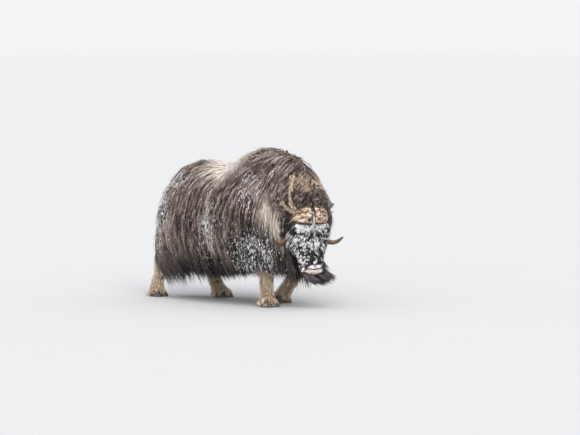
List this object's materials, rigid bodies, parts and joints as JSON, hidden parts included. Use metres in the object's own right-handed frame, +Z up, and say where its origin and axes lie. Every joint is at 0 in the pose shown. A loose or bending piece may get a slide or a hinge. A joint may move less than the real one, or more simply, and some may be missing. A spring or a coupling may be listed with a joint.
{
  "type": "muskox",
  "caption": "Life-size walking muskox bull in winter coat: long locks to the lower legs, shoulder hump, lowered head, bossed horns that hook up at the tips.",
  "frame": {"origin": "on the floor under the middle of the animal's bounding box", "axes": "+Z up, +Y towards the tail, so the animal walks towards -Y, and +X to its left"},
  "size_m": [0.9052, 2.1272, 1.3713],
  "materials": {
    "coat_brown": "long dark umber coat, cream saddle",
    "face_fur": "black face fur with frost, pale muzzle",
    "horn_keratin": "rough tan boss, smoother brown tips",
    "leg_fur": "short tan leg fur",
    "hoof_keratin": "dark hoof, satin",
    "eye_wet": "wet dark brown eye"
  },
  "bodies": {
    "root": {"head": "face_fur", "horn_left": "horn_keratin", "horn_right": "horn_keratin", "ear_left": "coat_brown", "ear_right": "coat_brown", "eye_left": "eye_wet", "eye_right": "eye_wet", "torso": "coat_brown", "neck": "coat_brown", "tail": "coat_brown", "leg_front_right": "leg_fur", "leg_front_left": "leg_fur", "leg_hind_right": "leg_fur", "leg_hind_left": "leg_fur", "hoof_front_right": "hoof_keratin", "hoof_front_left": "hoof_keratin", "hoof_hind_right": "hoof_keratin", "hoof_hind_left": "hoof_keratin"}
  },
  "joints": []
}
